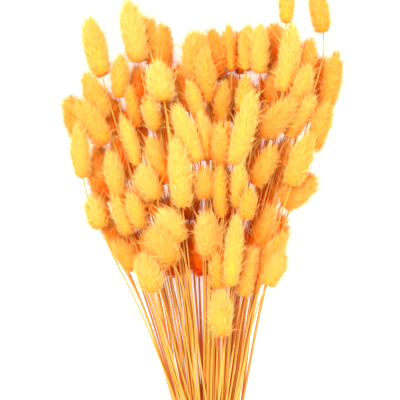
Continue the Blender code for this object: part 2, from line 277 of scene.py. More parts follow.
@dataclass(frozen=True)
class JuteTwine:
    """Natural jute twine: matt, coarse brown fibre with paler and darker strands."""

    name: str = "jute_twine_plied"
    dark: str = "#7A5732"
    light: str = "#C9A473"
    roughness: float = 0.9
    fibre_width: float = 0.4 * MM
    fibre_depth: float = 0.15 * MM

    def material(self) -> bpy.types.Material:
        """Makes the twine's material, a fine fibre pattern in the object's own place.

        Returns:
            The material.
        """
        tree, shader = start_material(self.name, self.roughness)
        place = add_node(tree, "ShaderNodeTexCoord")
        scale = [1 / self.fibre_width] * 3
        drawn = add_node(tree, "ShaderNodeMapping", inputs={0: place.outputs["Object"], 3: scale})
        fibre = add_node(
            tree, "ShaderNodeTexNoise", inputs={0: drawn.outputs[0], "Scale": 1.0, "Detail": 3.0}
        )
        colour = add_node(tree, "ShaderNodeValToRGB", inputs={0: fibre.outputs[0]})
        set_ramp(colour, [(0.3, self.dark), (0.7, self.light)])
        bump = add_node(
            tree, "ShaderNodeBump", inputs={"Distance": self.fibre_depth, "Height": fibre.outputs[0]}
        )
        tree.links.new(colour.outputs[0], shader.inputs["Base Color"])
        tree.links.new(bump.outputs[0], shader.inputs["Normal"])
        return bpy.data.materials[self.name]


@dataclass(frozen=True)
class PaperFloor:
    """White background paper: matt, faintly mottled, and lit from behind so that it stays pale."""

    name: str = "white_paper"
    low: str = "#D6D5D2"
    high: str = "#DCDCDA"
    glow: float = 0.75
    mottle: float = 40 * MM
    roughness: float = 0.95

    def material(self) -> bpy.types.Material:
        """Makes the floor's material.

        Returns:
            The material.
        """
        tree, shader = start_material(self.name, self.roughness)
        place = add_node(tree, "ShaderNodeTexCoord")
        noise = add_node(
            tree, "ShaderNodeTexNoise", inputs={0: place.outputs["Object"], "Scale": 1 / self.mottle}
        )
        colour = add_node(tree, "ShaderNodeValToRGB", inputs={0: noise.outputs[0]})
        set_ramp(colour, [(0.0, self.low), (1.0, self.high)])
        tree.links.new(colour.outputs[0], shader.inputs["Base Color"])
        shader.inputs["Emission Color"].default_value = linear(self.high)
        shader.inputs["Emission Strength"].default_value = self.glow
        return bpy.data.materials[self.name]


class Depth(Enum):
    """How deep in the bunch a tail lies, by the record's slot, with its hair and straw, painted deeper as
    shade the deeper it lies.
    """

    FRONT = "dyed_straw_front"
    MIDDLE = "dyed_straw_middle"
    BACK = "dyed_straw_back"

    @property
    def hair(self) -> DyedHair:
        """The hair's finish at this depth: its name, speck, deep, body, pale and root shade; the middle and
        back copies are painted deeper as shade.
        """
        return {
            Depth.FRONT: DyedHair("dyed_hair_front", "#A8621C", "#FF5000", "#FFA814", "#FFD77E", "#FFDA84"),
            Depth.MIDDLE: DyedHair("dyed_hair_middle", "#A05A18", "#FF4800", "#FF9E0E", "#FFCF6E", "#FFD474"),
            Depth.BACK: DyedHair("dyed_hair_back", "#985014", "#FF4000", "#FF9008", "#FFC55C", "#FFCC68"),
        }[self]

    @property
    def fullness(self) -> float:
        """How much longer and looser the hair grows at this depth, where it fills the gaps between heads."""
        return {Depth.FRONT: 1.0, Depth.MIDDLE: 1.12, Depth.BACK: 1.4}[self]

    @property
    def straw(self) -> DyedStraw:
        """The stem's finish at this depth: its name, dark, body and light; the middle and back copies are
        painted deeper as shade.
        """
        return {
            Depth.FRONT: DyedStraw("dyed_stem_front", "#DC5200", "#D68C1A", "#E4AE42"),
            Depth.MIDDLE: DyedStraw("dyed_stem_middle", "#DC4A00", "#D28214", "#E0A438"),
            Depth.BACK: DyedStraw("dyed_stem_back", "#DC4200", "#CE740C", "#DA982E"),
        }[self]


@dataclass
class Tail:
    """One flowering stem as it is packed: the middle line from its cut end to its neck, and its head."""

    line: list[Vector]
    tip: Vector
    width: float  # over the hairs

    @property
    def neck(self) -> Vector:
        """Where the stem enters the head."""
        return self.line[-1]

    @property
    def axis(self) -> Vector:
        """From the neck to the head's tip."""
        return self.tip - self.neck


@dataclass
class PackedTails:
    """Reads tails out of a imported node, by counting its rings of corners down from each head's tip."""

    node: bpy.types.Object
    tie_middle: Vector
    head_corners: int = 8
    head_rings: int = 5
    stem_corners: int = 4
    solid_share: float = 0.92  # of the width over the hairs
    fan_end: float = 45 * MM  # up to here above the tie, pairs of stems may be fused
    cut_zone: float = 25 * MM  # past here below the tie there are only the cut ends
    tie_share: float = 0.8  # of the spread of the cut ends, inside the tie
    tie_half: float = 7 * MM
    same_place: float = 0.001 * MM  # corners this near to each other are one
    slack: float = 1 * MM

    def layers(self, tip: bmesh.types.BMVert) -> list[list[Vector]]:
        """Collects the corners ring by ring.

        Args:
            tip: the corner to start from.

        Returns:
            The rings' corners from the tip down to the fan's end, or until a ring isn't whole.
        """
        seen, layer, found = {tip}, [tip], []
        while True:
            near = {edge.other_vert(v) for v in layer for edge in v.link_edges} - seen
            seen |= near
            layer = sorted(near, key=lambda v: v.index)
            wanted = self.head_corners if len(found) < self.head_rings else self.stem_corners
            if len(layer) != wanted or layer[0].co.y < self.tie_middle.y + self.fan_end - self.slack:
                return found
            found.append([v.co.copy() for v in layer])

    def cut_ends(self, mesh: bmesh.types.BMesh, count: int) -> list[Vector]:
        """Finds the middle of each cut end, from left to right.

        Args:
            mesh: the node's mesh.
            count: how many stems it has.

        Returns:
            The middles.
        """
        low = [v.co.copy() for v in mesh.verts if v.co.y < self.tie_middle.y - self.cut_zone]
        low.sort(key=lambda p: p.x)
        share = len(low) // count
        return [sum(low[k * share : (k + 1) * share], Vector()) / share for k in range(count)]

    def read(self) -> list[Tail]:
        """Reads the node's tails.

        Returns:
            The tails, from left to right at the fan's end.
        """
        mesh = bmesh.new()
        mesh.from_mesh(self.node.data)
        bmesh.ops.remove_doubles(mesh, verts=mesh.verts, dist=self.same_place)
        mesh.verts.index_update()
        found = []
        for tip in mesh.verts:
            rings = self.layers(tip) if len(tip.link_edges) == self.head_corners else []
            if len(rings) > self.head_rings:
                found.append((tip.co.copy(), rings))
        found.sort(key=lambda row: sum(p.x for p in row[1][-1]))
        tails = []
        for cut, (tip, rings) in zip(self.cut_ends(mesh, len(found)), found):
            middles = [sum(ring, Vector()) / len(ring) for ring in rings[self.head_rings :]]
            axis = (tip - middles[0]).normalized()
            off = [p - middles[0] for ring in rings[: self.head_rings] for p in ring]
            radius = max((p - axis * p.dot(axis)).length for p in off)
            held = self.tie_middle + (cut - self.tie_middle) * self.tie_share
            both_sides = (-self.tie_half, self.tie_half)
            inside = [Vector((held.x, self.tie_middle.y + y, held.z)) for y in both_sides]
            tails.append(Tail([cut, *inside, *reversed(middles)], tip, 2 * radius / self.solid_share))
        mesh.free()
        return tails


def smooth_line(points: list[Vector], step: float) -> np.ndarray:
    """Samples a smooth line through points.

    Args:
        points: the points, in order.
        step: how far apart the samples are, about.

    Returns:
        The samples, one row each.
    """
    knots = np.array([tuple(p) for p in points])
    at = np.concatenate(([0.0], np.cumsum(np.linalg.norm(np.diff(knots, axis=0), axis=1))))
    slope = np.gradient(knots, at, axis=0)
    asked = np.linspace(0.0, at[-1], max(2, round(at[-1] / step)) + 1)
    k = np.clip(np.searchsorted(at, asked, side="right") - 1, 0, len(at) - 2)
    span = (at[k + 1] - at[k])[:, None]
    u = (asked - at[k])[:, None] / span
    return (
        (1 + 2 * u) * (1 - u) ** 2 * knots[k]
        + u * (1 - u) ** 2 * span * slope[k]
        + u**2 * (3 - 2 * u) * knots[k + 1]
        + u**2 * (u - 1) * span * slope[k + 1]
    )


def unit(rows: np.ndarray) -> np.ndarray:
    """Scales each row to length 1."""
    return rows / np.linalg.norm(rows, axis=-1, keepdims=True)


def sides_of(line: np.ndarray) -> tuple[np.ndarray, np.ndarray]:
    """Finds two directions square to a line at each of its points.

    Args:
        line: the line's points, one row each, nowhere straight up.

    Returns:
        The direction to the side, and the one that points most nearly up.
    """
    ahead = unit(np.gradient(line, axis=0))
    side = unit(np.cross(ahead, (0.0, 0.0, 1.0)))
    return side, np.cross(side, ahead)


def sides_carried(line: np.ndarray) -> tuple[np.ndarray, np.ndarray]:
    """Finds two directions square to a line that may run any way, carried along it without a twist.

    Args:
        line: the line's points, one row each.

    Returns:
        The two directions at each point.
    """
    ahead = unit(np.gradient(line, axis=0))
    start = np.cross(ahead[0], (0.0, 0.0, 1.0) if abs(ahead[0, 2]) < NEARLY_UPRIGHT else (1.0, 0.0, 0.0))
    side = [start / np.linalg.norm(start)]
    for way in ahead[1:]:
        carried = side[-1] - way * side[-1].dot(way)
        side.append(carried / np.linalg.norm(carried))
    side = np.array(side)
    return side, np.cross(side, ahead)


def ways_round(side: np.ndarray, up: np.ndarray, corners: int) -> np.ndarray:
    """Finds the directions out to the corners of a ring at each of a line's points.

    Args:
        side: the ring's first direction at each point.
        up: its second, square to the first.
        corners: how many corners a ring has.

    Returns:
        The directions, by ring, corner and coordinate.
    """
    turn = 2 * math.pi * np.arange(corners) / corners
    return side[:, None] * np.cos(turn)[None, :, None] + up[:, None] * np.sin(turn)[None, :, None]


def rings_round(line: np.ndarray, radii: np.ndarray, corners: int) -> np.ndarray:
    """Sets rings of points round a line.

    Args:
        line: the rings' middles, one row each.
        radii: the rings' radii, or one row of radii for each ring.
        corners: how many points a ring has.

    Returns:
        The points, by ring, corner and coordinate.
    """
    return line[:, None] + ways_round(*sides_of(line), corners) * np.reshape(radii, (len(line), -1, 1))


class Draft:
    """The points, faces, bake places and values of a mesh in the making."""

    def __init__(self) -> None:
        """Starts with nothing."""
        self.points: list[np.ndarray] = []
        self.faces: list[tuple[int, ...]] = []
        self.places: list[tuple[float, float]] = []
        self.surfaces: list[int] = []
        self.values: dict[str, list[np.ndarray]] = {}
        self.count = 0

    def add_tube(
        self, rings: np.ndarray, places: np.ndarray, surface: Surface, values: dict[str, np.ndarray]
    ) -> None:
        """Adds a tube of rings with both ends closed.

        Args:
            rings: the points, by ring, corner and coordinate.
            places: the bake places, by ring and corner, with one corner more than a ring has.
            surface: the material slot.
            values: named values, each by ring and corner, with a last axis of 3 for a direction.
        """
        many, corners = rings.shape[:2]
        name = self.count + np.arange(many * corners).reshape(many, corners)
        for i in range(many - 1):
            for k in range(corners):
                n = (k + 1) % corners
                self.faces.append((name[i, k], name[i + 1, k], name[i + 1, n], name[i, n]))
                self.places += [tuple(places[at]) for at in ((i, k), (i + 1, k), (i + 1, k + 1), (i, k + 1))]
        self.faces.append(tuple(name[0]))
        self.places += [tuple(p) for p in places[0, :corners]]
        self.faces.append(tuple(name[-1][::-1]))
        self.places += [tuple(p) for p in places[-1, corners - 1 :: -1]]
        self.surfaces += [surface.value] * ((many - 1) * corners + 2)
        self.points.append(rings.reshape(-1, 3))
        for key, value in values.items():
            self.values.setdefault(key, []).append(np.asarray(value, np.float32).reshape(many * corners, -1))
        self.count += many * corners

    def mesh(self, name: str) -> bpy.types.Mesh:
        """Makes the mesh, shaded smooth.

        Args:
            name: the mesh's name.

        Returns:
            The mesh, with its bake map and its values as attributes.
        """
        made = bpy.data.meshes.new(name)
        made.from_pydata(np.concatenate(self.points), [], self.faces)
        made.uv_layers.new(name=BAKE_MAP).data.foreach_set("uv", np.ravel(self.places))
        made.polygons.foreach_set("material_index", self.surfaces)
        made.polygons.foreach_set("use_smooth", [True] * len(self.faces))
        for key, parts in self.values.items():
            value = np.concatenate(parts)
            kind, field_name = ("FLOAT", "value") if value.shape[1] == 1 else ("FLOAT_VECTOR", "vector")
            made.attributes.new(key, kind, "POINT").data.foreach_set(field_name, value.ravel())
        made.update()
        return made


@dataclass
class Surroundings:
    """What stands about each place in the bunch, for painted shade: the tone is painted redder where little
    light gets in.
    """

    tails: list[Tail]
    rays: int = 24
    reach: float = 60 * MM
    lift: float = 2.0 * MM
    shutting: float = 4.0  # the higher, the more a far blocker shuts off
    stem_width: float = 1.6 * MM
    round_share: float = 0.36  # of a head's width, the radius that blocks the view
    outline: tuple[tuple[float, float], ...] = (
        (0.0, 0.3),
        (0.12, 0.8),
        (0.45, 1.0),
        (0.62, 0.65),
        (0.72, 0.1),
    )
    corners: int = 6
    skyward: float = 0.8  # how far the view is turned up, to where the light comes from
    aside: tuple[float, float, float] = (0.31, 0.93, 0.17)  # a direction that no surface faces exactly

    def __post_init__(self) -> None:
        """Lays out the rays and gathers the heads and stems that block them."""
        turn = GOLDEN_ANGLE * np.arange(self.rays)
        height = np.sqrt((np.arange(self.rays) + 0.5) / self.rays)
        flat = np.sqrt(1 - height**2)
        self.ways = np.stack((flat * np.cos(turn), flat * np.sin(turn), height), axis=-1)
        draft = Draft()
        for tail in self.tails:
            line = np.array([tuple(p) for p in tail.line])
            widths = np.full(len(line), 0.5 * self.stem_width)
            self.block(draft, line, widths)
            share, size = np.array(self.outline).T
            line = np.array(tail.neck) + share[:, None] * np.array(tail.axis)
            self.block(draft, line, self.round_share * tail.width * size)
        self.tree = BVHTree.FromPolygons(np.concatenate(draft.points).tolist(), draft.faces)

    def block(self, draft: Draft, line: np.ndarray, radii: np.ndarray) -> None:
        """Adds a plain tube that blocks the view."""
        places = np.zeros((len(line), self.corners + 1, 2))
        draft.add_tube(rings_round(line, radii, self.corners), places, Surface.STRAW, {})

    def openness(self, points: np.ndarray, outward: np.ndarray) -> np.ndarray:
        """Finds how open the view from each point is.

        Args:
            points: the points, one row each.
            outward: the direction off the surface at each.

        Returns:
            From 0 for a point shut in all round to 1 for an open one.
        """
        middle = unit(outward + (0.0, 0.0, self.skyward))
        side = unit(np.cross(middle, self.aside))
        up = np.cross(middle, side)
        found = []
        for point, off, a, b, c in zip(points, outward, side, up, middle):
            start = Vector(point + self.lift * off)
            free = 0.0
            for way in self.ways @ np.stack((a, b, c)):
                distance = self.tree.ray_cast(start, Vector(way), self.reach)[3]
                free += 1.0 if distance is None else (distance / self.reach) ** self.shutting
            found.append(free / self.rays)
        return np.array(found)


@dataclass
class Tuft:
    """A spikelet's hairs, one unit long: straight needles of three faces that fan out from one root."""

    hairs: int = 13
    half_width: float = 0.023
    spread: float = math.radians(17)
    turn_scatter: float = 0.3  # of the angle between two hairs
    root_scatter: float = 0.10
    shortest: float = 0.6
    tone_spread: float = 0.05
    map_width: float = 0.004

    def mesh(self, name: str, draw: np.random.RandomState) -> bpy.types.Mesh:
        """Makes one tuft along +Z.

        Args:
            name: the mesh's name.
            draw: the source of random draws.

        Returns:
            The tuft, whose bake places are about tone 0.
        """
        points, faces, places = [], [], []
        for hair in range(self.hairs):
            scatter = draw.uniform(-self.turn_scatter, self.turn_scatter)
            turn = 2 * math.pi * (hair + scatter) / self.hairs
            lean = self.spread * math.sqrt(draw.uniform())
            way = Vector((math.cos(turn), math.sin(turn), 0.0))
            root = way * self.root_scatter * draw.uniform()
            reach = draw.uniform(self.shortest, 1.0)
            ahead = way * math.sin(lean) + Vector((0, 0, math.cos(lean)))
            across = ahead.orthogonal().normalized()
            up = ahead.cross(across)
            first = len(points)
            for k in range(NEEDLE_SIDES):
                angle = 2 * math.pi * k / NEEDLE_SIDES + turn
                points.append(root + (across * math.cos(angle) + up * math.sin(angle)) * self.half_width)
            points.append(root + ahead * reach)
            tone = draw.uniform(-self.tone_spread, self.tone_spread)
            for k in range(NEEDLE_SIDES):
                faces.append((first + k, first + (k + 1) % NEEDLE_SIDES, first + NEEDLE_SIDES))
                places += [(tone - self.map_width, HAIR_ROOT_V), (tone + self.map_width, HAIR_ROOT_V)]
                places.append((tone, HAIR_TIP_V))
        made = bpy.data.meshes.new(name)
        made.from_pydata(points, [], faces)
        made.uv_layers.new(name=BAKE_MAP).data.foreach_set("uv", np.ravel(places))
        return made


@dataclass
class Awn:
    """A long awn, one unit long: a bristle that stands out of the hair and is bent near its middle."""

    segments: int = 4
    half_width: float = 0.022
    bend: float = math.radians(60)
    least_bend: float = 0.3  # of the full bend
    bent_from: float = 0.3  # of the length
    bent_over: float = 0.5  # of the length
    taper: float = 0.9
    map_width: float = 0.004
    map_end: float = 0.01

    def mesh(self, name: str, draw: np.random.RandomState) -> bpy.types.Mesh:
        """Makes one awn that starts along +Z.

        Args:
            name: the mesh's name.
            draw: the source of random draws.

        Returns:
            The awn, whose bake places are about tone 0.
        """
        bend = self.bend * draw.uniform(self.least_bend, 1.0)
        shares = np.linspace(0.0, 1.0, self.segments + 1)
        angles = bend * np.clip((shares - self.bent_from) / self.bent_over, 0.0, 1.0)
        middle, points, faces, places = Vector(), [], [], []
        for share, angle in zip(shares, angles):
            ahead = Vector((math.sin(angle), 0.0, math.cos(angle)))
            middle = middle + ahead / self.segments if share else middle
            across, up = Vector((0, 1, 0)), ahead.cross(Vector((0, 1, 0)))
            for k in range(NEEDLE_SIDES):
                turn = 2 * math.pi * k / NEEDLE_SIDES
                thin = self.half_width * (1.0 - self.taper * share)
                points.append(middle - (across * math.cos(turn) + up * math.sin(turn)) * thin)
        half = self.map_width
        for i in range(self.segments):
            low, high = (HAIR_ROOT_V + (HAIR_TIP_V - HAIR_ROOT_V) * s for s in shares[i : i + 2])
            for k in range(NEEDLE_SIDES):
                a, b = NEEDLE_SIDES * i + k, NEEDLE_SIDES * i + (k + 1) % NEEDLE_SIDES
                faces.append((a, b, b + NEEDLE_SIDES, a + NEEDLE_SIDES))
                places += [(-half, low), (half, low), (half, high), (-half, high)]
        last = NEEDLE_SIDES * self.segments
        faces.append((last, last + 1, last + 2))
        places += [(0.0, HAIR_TIP_V - self.map_end), (half, HAIR_TIP_V), (0.0, HAIR_TIP_V)]
        made = bpy.data.meshes.new(name)
        made.from_pydata(points, [], faces)
        made.uv_layers.new(name=BAKE_MAP).data.foreach_set("uv", np.ravel(places))
        return made


@dataclass
class HairCover:
    """Geometry Nodes that cover the cores of the heads in a mesh with tufts, and set awns among them."""

    variants: int = 4
    tuft_spacing: float = 1.9 * MM
    most_tufts: float = 500_000.0  # on a square metre, before the spacing thins them
    awn_density: float = 26_000.0  # on a square metre
    tuft_lean: float = math.radians(16)
    awn_lean: float = math.radians(34)
    lean_spread: float = math.radians(12)
    awn_length: float = 2.0  # in lengths of the hair about it
    awn_tone: float = 0.4  # above the hair's about it
    stray: float = 0.12
    tone_spread: float = 0.06
    length_spread: tuple[float, float] = (0.78, 1.12)
    tuft_seed: int = 10
    awn_seed: int = 20
    tuft: Tuft = field(default_factory=Tuft)
    awn: Awn = field(default_factory=Awn)

    def __post_init__(self) -> None:
        """Makes the tufts and awns and the tree that sets them."""
        draw = np.random.RandomState(SEED)
        numbers = range(self.variants)
        self.kinds = {
            "Tufts": self.collection("tufts", [self.tuft.mesh(f"tuft_{k}", draw) for k in numbers]),
            "Awns": self.collection("awns", [self.awn.mesh(f"awn_{k}", draw) for k in numbers]),
        }
        self.tree = self.build_tree()

    def collection(self, name: str, meshes: list[bpy.types.Mesh]) -> bpy.types.Collection:
        """Puts meshes into a collection as objects.

        Args:
            name: the collection's name.
            meshes: the meshes.

        Returns:
            The collection.
        """
        made = bpy.data.collections.new(name)
        bpy.context.scene.collection.children.link(made)
        for mesh in meshes:
            made.objects.link(bpy.data.objects.new(mesh.name, mesh))
        return made

    def set_out(
        self,
        points: bpy.types.NodeSocket,
        kind: bpy.types.NodeSocket,
        lean: bpy.types.NodeSocket,
        length: bpy.types.NodeSocket | float,
        lift: float,
        seed: int,
    ) -> bpy.types.NodeSocket:
        """Sets tufts or awns on points, combed towards the head's tip.

        Args:
            points: the points.
            kind: the collection that holds the kinds to choose from.
            lean: the mean angle off the surface.
            length: the mean length, in lengths of the hair about it.
            lift: how far its tone is above that of the hair about it.
            seed: the first of this call's seeds.

        Returns:
            The instances, each with its own tone.
        """
        tree = self.tree
        values = [
            add_node(tree, "GeometryNodeInputNamedAttribute", {"data_type": data}, {0: name})
            for data, name in (
                ("FLOAT_VECTOR", "comb"),
                ("FLOAT_VECTOR", "outward"),
                ("FLOAT", "hair"),
                ("FLOAT", "tone"),
            )
        ]
        comb, outward, hair, about = (value.outputs["Attribute"] for value in values)
        least, most = (
            add_node(tree, "ShaderNodeMath", {"operation": change}, {0: lean, 1: self.lean_spread}).outputs[0]
            for change in ("SUBTRACT", "ADD")
        )
        angle, roll, own_length, own_tone = (
            add_node(tree, "FunctionNodeRandomValue", inputs={2: low, 3: high, "Seed": own}).outputs[1]
            for low, high, own in (
                (least, most, seed),
                (0.0, 2 * math.pi, seed + 2),
                (*self.length_spread, seed + 3),
                (lift - self.tone_spread, lift + self.tone_spread, seed + 5),
            )
        )
        stray = add_node(
            tree,
            "FunctionNodeRandomValue",
            {"data_type": "FLOAT_VECTOR"},
            {0: [-self.stray] * 3, 1: [self.stray] * 3, "Seed": seed + 1},
        )
        parts = []
        for direction, function in ((comb, "COSINE"), (outward, "SINE")):
            share = add_node(tree, "ShaderNodeMath", {"operation": function}, {0: angle}).outputs[0]
            scaled = add_node(
                tree, "ShaderNodeVectorMath", {"operation": "SCALE"}, {0: direction, "Scale": share}
            )
            parts.append(scaled.outputs[0])
        way, off = parts
        for part in (off, stray.outputs[0]):
            added = add_node(tree, "ShaderNodeVectorMath", {"operation": "ADD"}, {0: way, 1: part})
            way = added.outputs[0]
        aimed = add_node(tree, "FunctionNodeAlignRotationToVector", {"axis": "Z"}, {"Vector": way})
        round_it = add_node(tree, "ShaderNodeCombineXYZ", inputs={"Z": roll})
        rolled = add_node(tree, "FunctionNodeEulerToRotation", inputs={0: round_it.outputs[0]})
        turned = add_node(
            tree,
            "FunctionNodeRotateRotation",
            {"rotation_space": "LOCAL"},
            {0: aimed.outputs[0], 1: rolled.outputs[0]},
        )
        size = hair
        for factor in (own_length, length):
            scaled = add_node(tree, "ShaderNodeMath", {"operation": "MULTIPLY"}, {0: size, 1: factor})
            size = scaled.outputs[0]
        choices = add_node(tree, "GeometryNodeCollectionInfo", inputs={0: kind, 1: True, 2: True})
        choice = add_node(
            tree,
            "FunctionNodeRandomValue",
            {"data_type": "INT"},
            {4: 0, 5: self.variants - 1, "Seed": seed + 4},
        )
        placed = add_node(
            tree,
            "GeometryNodeInstanceOnPoints",
            inputs={
                "Points": points,
                "Instance": choices.outputs[0],
                "Pick Instance": True,
                "Instance Index": choice.outputs[2],
                "Rotation": turned.outputs[0],
                "Scale": size,
            },
        )
        tone = add_node(tree, "ShaderNodeMath", {"operation": "ADD"}, {0: about, 1: own_tone})
        held = add_node(tree, "ShaderNodeClamp", inputs={0: tone.outputs[0], 1: TONE_LOW, 2: TONE_HIGH})
        toned = add_node(
            tree,
            "GeometryNodeStoreNamedAttribute",
            {"data_type": "FLOAT", "domain": "INSTANCE"},
            {"Geometry": placed.outputs[0], "Name": "tone", "Value": held.outputs[0]},
        )
        return toned.outputs[0]

    def build_tree(self) -> bpy.types.NodeTree:
        """Builds the tree, which ends in Realize Instances and Set Material.

        Returns:
            The tree.
        """
        tree = bpy.data.node_groups.new("bunny_tail_hair", "GeometryNodeTree")
        self.tree = tree
        tree.interface.new_socket("Geometry", in_out="OUTPUT", socket_type="NodeSocketGeometry")
        self.inputs = {}
        for name, kind in (
            ("Geometry", "NodeSocketGeometry"),
            ("Tuft Spacing", "NodeSocketFloat"),
            ("Awn Density", "NodeSocketFloat"),
            ("Tuft Lean", "NodeSocketFloat"),
            ("Awn Lean", "NodeSocketFloat"),
            ("Awn Length", "NodeSocketFloat"),
            ("Tufts", "NodeSocketCollection"),
            ("Awns", "NodeSocketCollection"),
            ("Hair", "NodeSocketMaterial"),
            ("Seed", "NodeSocketInt"),
        ):
            made = tree.interface.new_socket(name, in_out="INPUT", socket_type=kind)
            self.inputs[name] = made.identifier
        given = add_node(tree, "NodeGroupInput").outputs
        values = [
            add_node(tree, "GeometryNodeInputNamedAttribute", {"data_type": data}, {0: name})
            for data, name in (("FLOAT", "hairy"), ("FLOAT", "tone"), ("FLOAT_VECTOR", BAKE_MAP))
        ]
        hairy, tone, mapped_at = (value.outputs["Attribute"] for value in values)
        roots = add_node(
            tree,
            "GeometryNodeDistributePointsOnFaces",
            {"distribute_method": "POISSON"},
            {
                "Mesh": given["Geometry"],
                "Distance Min": given["Tuft Spacing"],
                "Density Max": self.most_tufts,
                "Density Factor": hairy,
                "Seed": given["Seed"],
            },
        )
        density = add_node(
            tree, "ShaderNodeMath", {"operation": "MULTIPLY"}, {0: hairy, 1: given["Awn Density"]}
        )
        sparse = add_node(
            tree,
            "GeometryNodeDistributePointsOnFaces",
            inputs={"Mesh": given["Geometry"], "Density": density.outputs[0], "Seed": given["Seed"]},
        )
        tufts = self.set_out(roots.outputs[0], given["Tufts"], given["Tuft Lean"], 1.0, 0.0, self.tuft_seed)
        awns = self.set_out(
            sparse.outputs[0],
            given["Awns"],
            given["Awn Lean"],
            given["Awn Length"],
            self.awn_tone,
            self.awn_seed,
        )
        both = add_node(tree, "GeometryNodeJoinGeometry")
        tree.links.new(tufts, both.inputs[0])
        tree.links.new(awns, both.inputs[0])
        real = add_node(tree, "GeometryNodeRealizeInstances", inputs={0: both.outputs[0]})
        place = add_node(tree, "ShaderNodeSeparateXYZ", inputs={0: mapped_at})
        across = add_node(tree, "ShaderNodeMath", {"operation": "ADD"}, {0: place.outputs["X"], 1: tone})
        mapped = add_node(
            tree, "ShaderNodeCombineXYZ", inputs={"X": across.outputs[0], "Y": place.outputs["Y"]}
        )
        stored = add_node(
            tree,
            "GeometryNodeStoreNamedAttribute",
            {"data_type": "FLOAT2", "domain": "CORNER"},
            {"Geometry": real.outputs[0], "Name": BAKE_MAP, "Value": mapped.outputs[0]},
        )
        dyed = add_node(
            tree, "GeometryNodeSetMaterial", inputs={"Geometry": stored.outputs[0], "Material": given["Hair"]}
        )
        whole = add_node(tree, "GeometryNodeJoinGeometry")
        tree.links.new(dyed.outputs[0], whole.inputs[0])
        tree.links.new(given["Geometry"], whole.inputs[0])
        add_node(tree, "NodeGroupOutput", inputs={0: whole.outputs[0]})
        return tree

    def grow(
        self, mesh: bpy.types.Mesh, hair: bpy.types.Material, fullness: float, seed: int
    ) -> bpy.types.Mesh:
        """Grows the hair on a mesh.

        Args:
            mesh: the stems and the heads' cores, with their values.
            hair: the hair's material.
            fullness: how much more than usual the hair stands off.
            seed: the places' seed.

        Returns:
            A plain mesh of it all.
        """
        bare = bpy.data.objects.new(mesh.name + "_bare", mesh)
        bpy.context.scene.collection.objects.link(bare)
        cover = bare.modifiers.new("hair", "NODES")
        cover.node_group = self.tree
        for name, value in {
            "Tuft Spacing": self.tuft_spacing,
            "Awn Density": self.awn_density,
            "Tuft Lean": self.tuft_lean * fullness,
            "Awn Lean": self.awn_lean,
            "Awn Length": self.awn_length / fullness,
            "Tufts": self.kinds["Tufts"],
            "Awns": self.kinds["Awns"],
            "Hair": hair,
            "Seed": seed,
        }.items():
            cover[self.inputs[name]] = value
        depsgraph = bpy.context.evaluated_depsgraph_get()
        grown = bpy.data.meshes.new_from_object(
            bare.evaluated_get(depsgraph), preserve_all_data_layers=True, depsgraph=depsgraph
        )
        bpy.data.objects.remove(bare)
        return grown

    def remove(self) -> None:
        """Removes the tufts and awns that the tree copied."""
        for kind in self.kinds.values():
            for thing in list(kind.objects):
                bpy.data.objects.remove(thing)
            bpy.data.collections.remove(kind)


